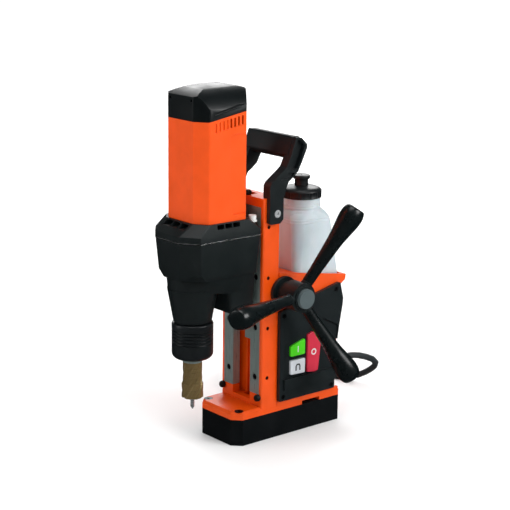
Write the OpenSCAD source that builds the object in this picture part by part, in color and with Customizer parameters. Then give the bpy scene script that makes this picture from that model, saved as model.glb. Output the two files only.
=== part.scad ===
// Magnetic drill press: the origin is the centre of the magnet's underside, +Z up the column,
// -X towards the spindle, -Y towards the control panel and the feed levers.

/* [Foot] */
// Length of the magnet block, front to rear
magnet_l = 175; // [170:1:180]
// Width of the magnet block and of the column
foot_w = 80; // [78:1:82]
// Height of the magnet block
magnet_h = 34; // [32:1:36]
// Thickness of the base plate on the magnet
plate_t = 10; // [9:0.5:11]

/* [Column] */
// Height of the column's top above the work surface
column_top = 313; // [310:1:316]
// Front face of the column
column_front = -47; // [-48:0.5:-46]
// Rear face of the column
column_rear = -20; // [-21:0.5:-19]
// Width of each guide rail
rail_w = 18; // [17:0.5:18.5]

/* [Drive] */
// Distance of the spindle's axis in front of the origin
spindle_x = 125.7; // [125:0.1:127]
// Distance of the motor's axis in front of the origin
motor_x = 104; // [103.5:0.1:104.5]
// Height of the silver seam between the gear housing and the motor flange
seam_z = 271; // [270:0.5:272]

/* [Feed] */
// Height of the feed hub's axis
hub_z = 191; // [190:0.5:192]
// Length of a feed lever from the hub's axis
lever_l = 131; // [120:1:135]
// Diameter of the fat end of a lever grip
grip_d = 29.2; // [28:0.2:30]

/* [Cutter] */
// Diameter over the cutter's teeth
cutter_d = 27.2; // [24:0.1:29]
// Diameter of the pilot pin
pilot_d = 5; // [4:0.1:5.1]

/* [Coolant bottle] */
// Front-to-back size of the bottle at its foot
bottle_l = 78; // [74:1:78]
// Width of the bottle at its foot
bottle_w = 72; // [68:1:72]

/* [Cord] */
// Diameter of the mains cord
cord_d = 8.5; // [8:0.1:9]

/* [Hidden] */

$fn = 64;
eps = 0.01;
run = 0.05;              // running clearance on a radius or a slide face
black = [0.13, 0.15, 0.16];
orange = [0.96, 0.36, 0.05];
steel = [0.68, 0.70, 0.72];

half_w = foot_w / 2;
plate_top = magnet_h + plate_t;
rail_back = column_front + 11;       // rear face of the guide rails
slot_back = column_front + 16;       // rear wall of the column's T-shaped slot
slot_half = 17;                      // half width between the rails
undercut_half = 23;                  // half width of the slot behind the rails
rack_half = 7;                       // half width of the groove for the rack
rail_bottom = 60;
slot_floor = 50;                     // bottom of the slot between the rails
bridge_z = column_top - 11;          // underside of the bridge across the column's top
screw_heights = [82, 147, 212, 277];

feed_m = 2;                          // module of the rack and its pinion
feed_teeth = 16;
pinion_r = feed_m * feed_teeth / 2;
hub_x = -14;
rack_x = hub_x - pinion_r;           // pitch plane of the rack
shaft_r = 9;
bush_r = 12;
lever_angles = [60, 180, 300];

slide_z = 173.2;
slide_h = 101.6;

lower_bearing_z = 168;
gear_floor = 227;
plate_low = seam_z - 8;

armature_teeth = 8;
first_teeth = 32;
first_pinion = 10;
second_teeth = 26;
second_pinion = 10;
spindle_teeth = 30;
m1 = 1;
m2 = 1.25;
m3 = 1.5;
armature_axis = [-motor_x, 0];
spindle_axis = [-spindle_x, 0];
reach3 = m3 * (second_pinion + spindle_teeth) / 2;
second_axis = spindle_axis + reach3 * [cos(40), sin(40)];
first_axis = meet(armature_axis, m1 * (armature_teeth + first_teeth) / 2,
                  second_axis, m2 * (first_pinion + second_teeth) / 2);

cord_r = cord_d / 2;
coil_centre = [115, 120];
coil_turn_r = 6 * cord_d;
coil_half = 2 * cord_d;
coil_h = 4 * cord_d;
gland_y = -12;
gland_z = 72;
gland_tip = 121;
cord_points = [[121, -12, 72], [135, -12, 71.5], [149, -12, 68.5], [163, -12, 63.5], [177, -10, 57],
  [190, -3, 48], [199, 8, 38], [204, 21, 29], [206, 35, 20], [206, 49, 12.5], [205, 63, 7],
  [201, 77, 4.25], [194, 91, 4.25], [185, 105, 4.25], [179, 119, 4.25]];
tail_points = [[93, 67.7, 38.3], [101.5, 64, 38.5], [110, 60.4, 38.9], [121, 57.6, 39.6], [133.4, 58.7, 40.5],
  [144.7, 64, 41.4], [153.6, 72.9, 42.2], [158.5, 83, 42.8], [160, 93.5, 43]];
plug_place = [160, 93.5, 43];
plug_turn = 90;

// ---- shared shapes ----

function unit(v) = v / norm(v);
function spin(v, a) = [v.x * cos(a) - v.y * sin(a), v.x * sin(a) + v.y * cos(a)];

// The point at distance ra from a and rb from b, on the +X side of the line a-b.
function meet(a, ra, b, rb) = let (
  d = norm(b - a), u = (b - a) / d, along = (ra * ra - rb * rb + d * d) / (2 * d),
  side = sqrt(ra * ra - along * along)) a + along * u + side * [u.y, -u.x];

// One corner of an outline, rounded to radius r in n steps.
function corner(a, b, c, r, n) = let (
  u = unit(a - b), v = unit(c - b), half = acos(u * v) / 2, d = r / tan(half),
  centre = b + unit(u + v) * r / sin(half), w = b + u * d - centre,
  turn = (180 - 2 * half) * sign(cross(w, b + v * d - centre)))
  [for (i = [0 : n]) centre + spin(w, turn * i / n)];

// An outline with all its corners rounded.
function rounded(points, r, n = 5) = let (k = len(points))
  [for (i = [0 : k - 1]) each corner(points[(i + k - 1) % k], points[i], points[(i + 1) % k], r, n)];

function box_outline(x0, x1, y) = [[x0, -y], [x1, -y], [x1, y], [x0, y]];

// Outline with equal front corner cuts and equal rear corner cuts.
function cut_outline(x0, x1, y, front, rear) = [
  [x0 + front.x, -y], [x1 - rear.x, -y], [x1, -y + rear.y], [x1, y - rear.y],
  [x1 - rear.x, y], [x0 + front.x, y], [x0, y - front.y], [x0, -y + front.y]];

function foot_outline(d = 0) = cut_outline(-magnet_l / 2 + d, magnet_l / 2 - d, half_w - d, [11, 11], [2, 2]);
function gear_outline(d = 0) = rounded(
  cut_outline(-164.5 + d, -52 - d, 45.4 - d, [16.5, 21.4], [4, 4]), 3);
function motor_outline(d = 0) = rounded(
  cut_outline(-motor_x - 40 + d, -motor_x + 40 - d, 41 - d, [12, 17], [12, 17]), 4);

// A solid that is extruded along Y from an outline in X and Z, between y0 and y1.
module across(points, y0, y1) {
  translate([0, y1, 0]) rotate([90, 0, 0]) linear_extrude(y1 - y0) polygon(points);
}
module slab(points, z0, z1) {
  translate([0, 0, z0]) linear_extrude(z1 - z0) polygon(points);
}
module slab_x(points, x0, x1) {
  translate([x0, 0, 0]) rotate([90, 0, 90]) linear_extrude(x1 - x0) polygon(points);
}
module at(p, z = 0) { translate([p.x, p.y, z]) children(); }
module post(r, z0, z1) { translate([0, 0, z0]) cylinder(r = r, h = z1 - z0); }
module rod_y(x, z, r, y0, y1) { translate([x, y1, z]) rotate([90, 0, 0]) cylinder(r = r, h = y1 - y0); }
module rod_x(y, z, r, x0, x1) { translate([x0, y, z]) rotate([0, 90, 0]) cylinder(r = r, h = x1 - x0); }
module both_sides() { children(); mirror([0, 1, 0]) children(); }

// Involute spur gear outline: 25 degree pressure angle, short teeth, a little backlash.
pressure_angle = 25;
tooth_tip = 0.6;                     // height of a tooth above the pitch line, in modules
tooth_root = 0.85;                   // depth of a tooth space, in modules
backlash = 0.06;
function slope_of(a) = tan(a) * 180 / PI - a;
function gear_points(teeth, m, phase = 0) = let (
  rp = m * teeth / 2, rb = rp * cos(pressure_angle), ra = rp + tooth_tip * m, rr = rp - tooth_root * m,
  r0 = max(rb, rr), half = 90 / teeth - backlash / rp * 180 / PI + slope_of(pressure_angle),
  flank = [for (i = [0 : 4]) let (r = r0 + (ra - r0) * i / 4) [r, half - slope_of(acos(rb / r))]])
  [for (k = [0 : teeth - 1]) let (c = phase + 360 * k / teeth) each concat(
    [rr * [cos(c - flank[0][1]), sin(c - flank[0][1])]],
    [for (f = flank) f[0] * [cos(c - f[1]), sin(c - f[1])]],
    [for (i = [4 : -1 : 0]) flank[i][0] * [cos(c + flank[i][1]), sin(c + flank[i][1])]],
    [rr * [cos(c + flank[0][1]), sin(c + flank[0][1])]])];

// The phase that puts gear b in mesh with gear a, which has its own phase.
function mesh_phase(a, teeth_a, phase_a, b, teeth_b) = let (
  line = atan2(b.y - a.y, b.x - a.x))
  line + 180 + 180 / teeth_b - (phase_a - line) * teeth_a / teeth_b;

// A tube swept along points: one ring at each point, square to the path there.
function ring_dir(p, i) = unit(p[min(i + 1, len(p) - 1)] - p[max(i - 1, 0)]);
module sweep(p, r, sides) {
  n = len(p);
  rings = [for (i = [0 : n - 1]) let (t = ring_dir(p, i),
      across_dir = unit(cross(abs(t.z) < 0.9 ? [0, 0, 1] : [1, 0, 0], t)), up_dir = cross(t, across_dir))
    for (k = [0 : sides - 1]) p[i] + r * (cos(360 * k / sides) * across_dir + sin(360 * k / sides) * up_dir)];
  polyhedron(rings, concat(
    [[for (k = [0 : sides - 1]) k]],
    [for (i = [0 : n - 2]) for (k = [0 : sides - 1]) let (a = i * sides + k, b = i * sides + (k + 1) % sides)
      each [[a, a + sides, b + sides], [a, b + sides, b]]],
    [[for (k = [sides - 1 : -1 : 0]) (n - 1) * sides + k]]));
}
function spring_points(c, r, z0, z1, turns) = [for (i = [0 : turns * 10])
  let (a = i * 36) [c.x + r * cos(a), c.y + r * sin(a), z0 + (z1 - z0) * i / (turns * 10)]];

// ---- foot ----

module magnet_body() {
  color(black) difference() {
    slab(foot_outline(), 0, magnet_h);
    translate([0, 0, -eps]) linear_extrude(22) coil_ring();
    translate([rack_x - 8, -rack_half - 1, 11]) cube([12, 2 * rack_half + 2, magnet_h]);
    plate_screw_places() post(3, magnet_h - 12, magnet_h + 1);
  }
}
module coil_ring() {
  difference() {
    square([148, 54], center = true);
    square([120, 26], center = true);
  }
}
module magnet_coil() { color("peru") translate([0, 0, 0.6]) linear_extrude(21.39) coil_ring(); }

module plate_screw_places() {
  for (x = [-76, 66], y = [-31, 31]) translate([x, y, 0]) children();
}
module plate_screws() {
  color("dimgray") plate_screw_places() difference() {
    union() {
      post(2.95, magnet_h - 11, plate_top - 3);
      translate([0, 0, plate_top - 3]) cylinder(r1 = 2.95, r2 = 5.8, h = 2.8);
    }
    translate([0, 0, plate_top - 2.6]) cylinder(r = 2, h = 3, $fn = 6);
  }
}

module base_casting() {
  color(orange) difference() {
    union() {
      slab(foot_outline(), magnet_h, plate_top - 3);
      hull() {
        slab(foot_outline(), plate_top - 3.01, plate_top - 3);
        slab(foot_outline(3), plate_top - 0.01, plate_top);
      }
      slab(rounded(box_outline(column_front, column_rear, half_w), 2.5), magnet_h, column_top);
      shaft_boss();
      both_sides() translate([column_rear - 1, half_w - 4, magnet_h + 1])
        cube([magnet_l / 2 + 18, 4, plate_t + 1]);
    }
    column_slots();
    strap_slot();
    plate_screw_places() {
      post(3, magnet_h - 1, plate_top);
      translate([0, 0, plate_top - 3]) cylinder(r1 = 3, r2 = 6.2, h = 3.1);
    }
    rod_y(hub_x, hub_z, bush_r, -half_w - 1, half_w + 1);
    rod_y(hub_x, hub_z, pinion_r + 2.5, -rack_half, rack_half);
    rail_screw_places() rod_x(0, 0, 2, rail_back - 1, rail_back + 9);
    both_sides() for (z = screw_heights) rod_y(-38, z, 2.5, -half_w - 1, -half_w + 5.01);
    both_sides() rod_y(bolt_x, bolt_z, 3, -half_w - 1, -half_w + 14);
    translate([-43, -5, column_top - 8]) post(3, 0, 9);
    both_sides() translate([0, -35, 56.5]) rod_x(0, 0, 2, column_front - 1, column_front + 8);
  }
}
// A box given by its ranges in X and Z, symmetric in Y.
module block(x0, x1, half_y, z0, z1) {
  translate([x0, -half_y, z0]) cube([x1 - x0, 2 * half_y, z1 - z0]);
}
module column_slots() {
  block(column_front - 1, rail_back, slot_half + rail_w, rail_bottom, bridge_z);
  block(rail_back - eps, slot_back, undercut_half, slot_floor, bridge_z);
  block(column_front - 1, rail_back, slot_half, slot_floor, rail_bottom + 2);
  block(rail_back - 1.5, rack_x + 1.8, rack_half, magnet_h - 1, column_top + magnet_h - 1);
}
module shaft_boss() {
  translate([column_rear - 1, -half_w + 3.2, hub_z - 19]) cube([27, foot_w - 6.4, 36]);
}
module strap_slot() { translate([22, -half_w - 1, magnet_h - 1]) cube([30, foot_w + 2, 5.8]); }

// ---- guides ----

module rail_screw_places() {
  both_sides() for (z = screw_heights) translate([0, -26, z]) children();
}
module guide_rails() {
  color(steel) both_sides() difference() {
    translate([column_front, -slot_half - rail_w + eps, rail_bottom + 0.2])
      cube([rail_back - column_front, rail_w - 2 * eps, bridge_z - rail_bottom - 0.4]);
    for (z = screw_heights) {
      rod_x(-26, z, 2.2, column_front - 1, rail_back + 1);
      rod_x(-26, z, 4, column_front - 1, column_front + 5);
    }
  }
}
module rail_screws() {
  color("dimgray") rail_screw_places() difference() {
    union() {
      rod_x(0, 0, 1.95, column_front + 4, rail_back + 8);
      rod_x(0, 0, 3.6, column_front + 1, column_front + 4.9);
    }
    translate([column_front, 0, 0]) rotate([0, 90, 0]) cylinder(r = 1.8, h = 3, $fn = 6);
  }
}
module gib_screws() {
  color("dimgray") both_sides() for (z = screw_heights) difference() {
    rod_y(-38, z, 2.45, -half_w + 0.6, -half_w + 4.99);
    translate([-38, -half_w + 2, z]) rotate([90, 0, 0]) cylinder(r = 1.3, h = 3, $fn = 6);
  }
}
module lower_stops() {
  color(black) both_sides() {
    translate([column_front, -35, 56.5]) rotate([0, -90, 0]) round_head(4.4, 7);
    rod_x(-35, 56.5, 1.95, column_front - 1, column_front + 7);
  }
}
// A knob with a domed end, standing on the plane z = 0.
module round_head(r, h) {
  rotate_extrude() polygon(concat([[0, 0], [r - 0.8, 0], [r, 1]],
    [for (i = [0 : 6]) [r * cos(i * 15), h - r * 0.75 + r * 0.75 * sin(i * 15)]]));
}
module top_stop() {
  color(black) translate([-43, -5, 0]) {
    post(2.95, column_top - 7, column_top + 1);
    translate([0, 0, column_top]) round_head(4.6, 6.4);
  }
}

// ---- rear housing and controls ----

rear_edge = [[76, 46], [76, 62], [80, 111], [83, 132], [88, 158], [89, 167], [85, 185], [93, 190], [94, 197]];
rear_inner = [[73, 50], [73, 62], [77, 111], [80, 132], [84.5, 158], [85.5, 167], [82, 184]];
module rear_housing() {
  color(orange) difference() {
    across(concat([[column_rear, 216], [column_rear, 46]], rear_edge), -half_w, half_w);
    across(concat([[column_rear - 1, 184], [column_rear - 1, 46], [60, 46], [60, 50]], rear_inner),
      -half_w + 3, half_w - 3);
    across([[-10, 62], [68, 62], [74, 140], [-10, 140]], -half_w - 1, -half_w + 4);
    translate([column_rear - 1, -half_w + 3, hub_z - 20]) cube([28.5, foot_w - 6, 38]);
    slab(rounded(box_outline(10, 89.5, half_w - 3), 9), 189, 230);
    both_sides() rod_y(hub_x, hub_z, bush_r, -half_w - 1, -half_w + 4);
    rod_x(gland_y, gland_z, 7, 70, 82);
    for (q = panel_screw_spots) rod_y(q.x, q.y, 1.6, -half_w - 1, -half_w + 4);
  }
}

panel_y = -half_w - 5;
panel_edge = [[-21.5, 47.5], [73.5, 47.5], [73.5, 61], [77, 111], [80, 132], [85, 158], [86, 167],
  [80, 189.5], [37, 180], [-21.5, 166]];
key_field = [[-14, 76], [74, 76], [79, 132], [52, 146], [30, 137], [-14, 123]];
panel_screw_spots = [[73, 181], [-15, 160], [68, 53], [-15, 53]];
start_edge = [[-3, 104], [21, 104], [21, 124.5], [-3, 118]];
magnet_edge = [[-3, 80], [21.5, 79], [21.5, 98.5], [-3, 98.5]];
stop_edge = [[25.5, 78.5], [39, 76.5], [44, 78], [48, 112], [35, 131], [25.5, 128]];

// An outline moved outwards (d > 0) or inwards about its middle.
function middle(p) = [for (axis = [0, 1]) (max([for (q = p) q[axis]]) + min([for (q = p) q[axis]])) / 2];
function grown(p, d) = let (c = middle(p),
  sx = max([for (q = p) q.x]) - c.x, sy = max([for (q = p) q.y]) - c.y)
  [for (q = p) [c.x + (q.x - c.x) * (1 + d / sx), c.y + (q.y - c.y) * (1 + d / sy)]];

module control_panel() {
  color(black) difference() {
    union() {
      across(rounded(panel_edge, 2), panel_y, -half_w);
      across([[-15, 62], [72, 62], [73, 76], [-15, 76]], panel_y - 3, panel_y + 1);
    }
    across(rounded(key_field, 3), panel_y - 1, panel_y + 2.5);
    for (key = [start_edge, magnet_edge, stop_edge])
      across(rounded(grown(key, 0.5), 2), panel_y - 5, -half_w + 1);
    for (q = panel_screw_spots) {
      rod_y(q.x, q.y, 1.6, panel_y - 1, -half_w + 1);
      rod_y(q.x, q.y, 3.4, panel_y - 1, panel_y + 2);
    }
  }
}
module panel_screws() {
  color("silver") for (q = panel_screw_spots) difference() {
    union() {
      rod_y(q.x, q.y, 1.55, panel_y + 1, -half_w + 8);
      rod_y(q.x, q.y, 3.2, panel_y + 0.2, panel_y + 1.99);
    }
    translate([q.x, panel_y + 1.2, q.y]) rotate([90, 0, 0]) cylinder(r = 1.5, h = 2, $fn = 6);
  }
}
module push_button(edge) { across(rounded(edge, 1.6), panel_y - 0.2, -half_w + 4); }
module start_button() { color([0.3, 0.85, 0.1]) push_button(start_edge); }
module stop_button() { color([0.78, 0.12, 0.22]) push_button(stop_edge); }
module magnet_button() { color([0.8, 0.82, 0.84]) push_button(magnet_edge); }
module switch_block() {
  color("dimgray") {
    translate([-7, -32, 72]) cube([58, 16, 62]);
    for (z = [76, 118]) translate([-15, -half_w + 3, z]) cube([8.1, 9, 12]);
    for (q = [[9, 112], [9, 89], [35, 103]]) rod_y(q.x, q.y, 4, -33.2, -31.9);
  }
}
module circuit_board() {
  color("darkgreen") {
    translate([-12, 20, 56]) cube([80, 1.6, 84]);
    for (x = [-8, 64], z = [60, 136]) rod_y(x, z, 3, 21.5, half_w - 3);
  }
  color("darkblue") {
    rod_y(52, 80, 9, -4, 20.1);
    translate([-6, 2, 62]) cube([22, 18.1, 16]);
    translate([22, 8, 106]) cube([26, 12.1, 20]);
  }
}

// ---- carry handle ----

handle_side = [[-42, 283], [-42, 329], [-39, 333.5], [-24, 344], [-16, 350], [-9, 364], [-1, 386],
  [8, 384.5], [17, 376], [17, 371], [11, 358], [3, 343], [-5, 336.5], [-12, 332], [-15, 326],
  [-20, 312], [-20, 286], [-25, 281], [-40, 281]];
handle_bar = [[-1, 387], [8, 386], [17, 375], [11, 358], [3, 356], [-11, 362]];
handle_panel = [[-13, 350], [-6, 364], [1.5, 383], [7.5, 381.5], [13.5, 375], [8, 360], [2, 347], [-6, 345]];
handle_nook = [[-12, 343], [-2, 341.5], [-5.5, 338], [-12.5, 335], [-25, 335], [-24, 340]];
bolt_x = -29;
bolt_z = 293.5;
module carry_handle() {
  color(black) difference() {
    union() {
      both_sides() across(rounded(handle_side, 1), -46, -33);
      across(rounded(handle_bar, 5), -half_w, half_w);
    }
    block(-43, -19, half_w + 0.02, 280, column_top + 0.2);
    both_sides() {
      across(rounded(handle_panel, 1.5), -47, -40);
      across(rounded(handle_nook, 0.6), -47, -43);
      rod_y(bolt_x, bolt_z, 3.1, -half_w - 7, -half_w + 1);
      rod_y(bolt_x, bolt_z, 5.2, -half_w - 7, -half_w - 3);
    }
  }
}
module handle_bolts() {
  color("silver") both_sides() difference() {
    union() {
      rod_y(bolt_x, bolt_z, 2.95, -half_w - 4, -half_w + 13);
      rod_y(bolt_x, bolt_z, 4.9, -half_w - 5.8, -half_w - 3.02);
    }
    translate([bolt_x, -half_w - 4, bolt_z]) rotate([90, 0, 0]) cylinder(r = 2.2, h = 3, $fn = 6);
  }
}

// ---- mains cord ----

module cable_gland() {
  color(black) difference() {
    union() {
      rod_x(gland_y, gland_z, 6.9, 71, 80);
      rod_x(gland_y, gland_z, 9.5, 79.9, 85);
      translate([84.9, gland_y, gland_z]) rotate([0, 90, 0])
        cylinder(r1 = 8.5, r2 = 5.8, h = gland_tip - 84.9);
    }
    for (x = [90 : 6 : 114]) difference() {
      rod_x(gland_y, gland_z, 10, x, x + 2);
      rod_x(gland_y, gland_z, 6, x - 1, x + 3);
    }
  }
}
module cord_run() { color([0.2, 0.2, 0.21]) sweep(cord_points, cord_r, 8); }
module cord_coil() {
  color([0.2, 0.2, 0.21]) translate([coil_centre.x, coil_centre.y, 0]) rotate_extrude()
    translate([coil_turn_r - coil_half, 0]) square([2 * coil_half, coil_h]);
}
module cord_tail() { color([0.2, 0.2, 0.21]) sweep(tail_points, cord_r, 8); }
module mains_plug() {
  translate(plug_place) rotate([0, 0, plug_turn]) {
    color(black) {
      rod_x(0, 0, 6, 0, 22);
      slab_x(rounded([[-17, -9], [17, -9], [17, 9], [-17, 9]], 6), 22, 56);
    }
    color("silver") for (y = [-9.5, 9.5]) rod_x(y, 0, 2.4, 55.9, 75);
  }
}

// ---- feed ----

module side_flange() {
  color(black) difference() {
    union() {
      rod_y(hub_x, hub_z, 20.3, -half_w - 5, -half_w - 0.02);
      rod_y(hub_x, hub_z, bush_r - run, -half_w - 0.1, -half_w + 4);
    }
    rod_y(hub_x, hub_z, shaft_r + run, -half_w - 6, -half_w + 5);
  }
}
module shaft_bushes() {
  color("goldenrod") for (y = [-34, 20]) difference() {
    rod_y(hub_x, hub_z, bush_r - 0.01, y, y + 14);
    rod_y(hub_x, hub_z, shaft_r + run, y - 1, y + 15);
  }
}
module pinion_shaft() {
  color(steel) {
    rod_y(hub_x, hub_z, shaft_r, -84, 33);
    translate([hub_x, rack_half - 1, hub_z]) rotate([90, 0, 0]) linear_extrude(2 * rack_half - 2)
      polygon(gear_points(feed_teeth, feed_m));
  }
}
module feed_hub() {
  color(black) difference() {
    union() {
      rod_y(hub_x, hub_z, 14.5, -half_w - 14, -half_w - 5.4);
      rod_y(hub_x, hub_z, 18.6, -80, -half_w - 16);
      rod_y(hub_x, hub_z, 15, -82, -half_w - 14);
      at_levers() translate([0, 0, 10]) cylinder(r1 = 8, r2 = 7, h = 12);
    }
    rod_y(hub_x, hub_z, shaft_r, -83, -40);
    at_levers() translate([0, 0, 11]) cylinder(r = 4, h = 20);
  }
}
// Each lever leaves the hub at its own angle and leans outwards.
lever_lean = 15;
module at_lever(a) {
  translate([hub_x, -69, hub_z]) rotate([0, -a, 0]) rotate([0, 0, -lever_lean]) rotate([0, 90, 0]) children();
}
module at_levers() { for (a = lever_angles) at_lever(a) children(); }
module hub_cap() {
  color([0.75, 0.8, 0.8]) difference() {
    union() {
      rod_y(hub_x, hub_z, 12.2, -86.5, -82.01);
      rod_y(hub_x, hub_z, 12.6, -84.5, -82.01);
    }
    rod_y(hub_x, hub_z, shaft_r + 0.01, -84.01, -82);
  }
}
module lever_rods() { color(steel) at_levers() post(3.98, 11.05, 100); }
grip_line = [[0, 22.1], [7.2, 22.1], [7.3, 34], [8, 50], [9.1, 70], [10.4, 86], [12.2, 98], [13.8, 107]];
module lever_grip(a) {
  r = grip_d / 2;
  end_r = 3;                         // radius of the edge round the flat end
  end_arc = [for (i = [0 : 6]) [r - 2 - end_r + end_r * cos(i * 15), lever_l - end_r + end_r * sin(i * 15)]];
  color(black) at_lever(a) difference() {
    rotate_extrude() polygon(concat(grip_line, [[r, lever_l - 16], [r - 0.4, lever_l - 8]], end_arc,
      [[0, lever_l + 0.4]]));
    post(4, 20, 100.1);
  }
}
module lever_grip_1() { lever_grip(lever_angles[0]); }
module lever_grip_2() { lever_grip(lever_angles[1]); }
module lever_grip_3() { lever_grip(lever_angles[2]); }

// Rack outline in X and Z, teeth to the rear, with a gap at the height of the pinion's axis.
rack_pitch = PI * feed_m;
rack_back = rail_back + run - 1;
function rack_points() = let (half = rack_pitch / 4 - backlash, slope = tan(pressure_angle),
  tip = tooth_tip * feed_m, root = tooth_root * feed_m)
  concat([[rack_back, 310], [rack_back, 125]],
    [[rack_x - root, 125]],
    [for (k = [-10 : 18]) let (z = hub_z + (k + 0.5) * rack_pitch) each [
      [rack_x - root, z - half - root * slope], [rack_x + tip, z - half + tip * slope],
      [rack_x + tip, z + half - tip * slope], [rack_x - root, z + half + root * slope]]],
    [[rack_x - root, 310]]);
module feed_rack() { color(steel) across(rack_points(), -rack_half + 1, rack_half - 1); }

module slide_neck() {
  block(-54, slot_back - run, slot_half - run, slide_z, slide_z + slide_h);
}
module carriage_slide() {
  color("slategray") difference() {
    union() {
      slide_neck();
      block(rail_back + run, slot_back - run, undercut_half - run, slide_z, slide_z + slide_h);
    }
    block(rack_back, rack_back + 10, rack_half - 1, slide_z - 1, slide_z + slide_h + 1);
  }
}

// ---- gearbox ----

module gear_housing() {
  color(black) difference() {
    union() {
      hull() {
        slab(gear_outline(0.3), plate_low + 7.3, plate_low + 7.39);
        slab(gear_outline(3), 232, 232.1);
      }
      hull() {
        slab(gear_outline(3), 232, 232.1);
        slab(rounded(cut_outline(-159, -53, 39.5, [22, 25], [4, 4]), 3), 222.5, 222.6);
      }
      hull() {
        slab(rounded(cut_outline(-156, -53, 37.5, [30, 24], [6, 6]), 4), 222.5, 222.6);
        at(spindle_axis, 205) cylinder(r = 30.5, h = 0.1, $fn = 32);
        slab(rounded(box_outline(-95, -53, 33), 5), 200, 200.1);
      }
      hull() {
        slab(rounded(box_outline(-95, -53, 33), 5), 200, 200.1);
        slab(rounded(box_outline(-90, -53, 31), 5), 173, 173.1);
      }
      at(spindle_axis, 165) cylinder(r1 = 23.8, r2 = 31.5, h = 42);
    }
    slab(rounded(cut_outline(-155, -60, 38, [15, 18], [3, 3]), 3), gear_floor, 280);
    slab(rounded(cut_outline(-159.5, -57, 40.5, [15, 19], [3, 3]), 3), plate_low, 280);
    at(spindle_axis) {
      post(14, 160, gear_floor + 1);
      post(21, 160, lower_bearing_z + 12);
    }
    at(first_axis) post(4 + run, gear_floor - 6, gear_floor + 1);
    at(second_axis) post(4 + run, gear_floor - 6, gear_floor + 1);
    slide_neck();
  }
}
low = plate_low + 8.6;               // underside of the motor flange
fitting_spot = [-59, -33];
module gear_plate() {
  color("silver") difference() {
    union() {
      slab(rounded(cut_outline(-159.5, -57, 40.5, [15, 19], [3, 3]), 3), plate_low, plate_low + 7.39);
      slab(gear_outline(-0.1), plate_low + 7.39, plate_low + 8.6);
    }
    at(spindle_axis) {
      post(14, plate_low - 1, plate_low + 6);
      post(7, plate_low - 1, plate_low + 9);
    }
    at(armature_axis) post(6.5, plate_low - 1, plate_low + 9);
    at(first_axis) post(4 + run, plate_low - 1, plate_low + 5);
    at(second_axis) post(4 + run, plate_low - 1, plate_low + 5);
    slide_neck();
  }
}
module motor_flange() {
  color(black) difference() {
    union() {
      slab(gear_outline(), low, low + 7.4);
      hull() {
        slab(gear_outline(), low + 7.3, low + 7.4);
        slab(motor_outline(-2), 292.4, 292.5);
      }
      at(fitting_spot) post(5.4, low, low + 14.5);
    }
    difference() {
      slab(rounded(cut_outline(-156, -64, 37.5, [14, 16], [3, 3]), 3), low - 1, low + 4);
      at(armature_axis) post(17, low - 2, low + 5);
    }
    slab(motor_outline(4), 283, 293);
    at(armature_axis) {
      post(13, low - 1, low + 8);
      post(9, low, 293);
    }
    for (x = [-122, -110, -98]) both_sides() translate([x, -48, 285.6]) cube([10.5, 14, 5.6]);
    for (y = [-22, -7, 8]) translate([-162, y, 285.6]) cube([22, 13, 5.6]);
    at(fitting_spot) {
      post(2, low + 4, low + 15);
      post(5.8, low + 14.5, 300);
    }
    slide_neck();
  }
}
module coolant_fitting() {
  color([0.82, 0.84, 0.85]) at(fitting_spot) difference() {
    union() {
      post(1.95, 277, 286.5);
      post(5.6, 286.11, 288);
      post(4.8, 287.9, 294);
    }
    post(1, 276, 295);
  }
}

// ---- motor ----

cap_line = [[-170, 415], [-133, 415], [-50, 428.6], [-50, 500], [-170, 500]];
recess_edge = [[-101, 318], [-101, 397], [-55, 400], [-55, 300], [-97, 300]];
module side_recess() { across(rounded(recess_edge, 4), -half_w - 2, -half_w + 1.2); }
module motor_housing() {
  color(orange) difference() {
    slab(motor_outline(), 292.5, 430);
    slab(motor_outline(3), 292, 431);
    across(cap_line, -60, 60);
    both_sides() difference() {
      side_recess();
      translate([-motor_x - 50, -half_w + 1, 290]) cube([100, 5, 140]);
    }
    both_sides() for (i = [0 : 7]) let (x = -124 + i * 5.8, top = 412 + max(0, x + 133) * 0.164)
      translate([x, -half_w - 2, top - 11.5]) cube([2.6, i > 3 ? 10 : 2.2, 11]);
  }
}
module dome(d) {
  intersection() {
    slab(motor_outline(d), 400, 470);
    rod_x(0, 409 - d, 46, -170, -40);
    rod_y(-motor_x + 7, 455 - 105 - d, 105, -60, 60);
  }
}
module motor_cap() {
  color(black) difference() {
    intersection() {
      dome(0);
      across(cap_line, -60, 60);
    }
    intersection() {
      dome(3);
      slab(motor_outline(3), 400, 470);
    }
    both_sides() across([[-124, 422.5], [-80, 431.5], [-80, 434.5], [-124, 425.5]], -60, -39);
    for (y = [-22, 19]) translate([-146, y, 438]) cube([4, 3, 3]);
  }
}
module stator() {
  color("dimgray") at(armature_axis) difference() {
    post(35, 312, 364);
    post(22.5, 311, 365);
  }
  color("peru") at(armature_axis) for (z = [304.01, 364]) difference() {
    post(32, z, z + 7.98);
    post(24, z - 1, z + 9);
  }
}
module carbon_brushes() {
  color([0.1, 0.1, 0.1]) at(armature_axis) for (s = [1, -1]) translate([0, s * 23.6, 386])
    cube([6, 18.6, 8], center = true);
}
module bearing(c, z, r_in, r_out, h) {
  ball_r = (r_out - r_in) / 4;
  mid = (r_out + r_in) / 2;
  at(c) {
    difference() {
      post(r_out, z, z + h);
      post(mid + ball_r * 0.6, z - 1, z + h + 1);
    }
    difference() {
      post(mid - ball_r * 0.6, z, z + h);
      post(r_in, z - 1, z + h + 1);
    }
    difference() {
      post(mid + ball_r * 0.6, z + h / 2 - 0.6, z + h / 2 + 0.6);
      post(mid - ball_r * 0.6, z - 1, z + h + 1);
    }
  }
}
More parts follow.
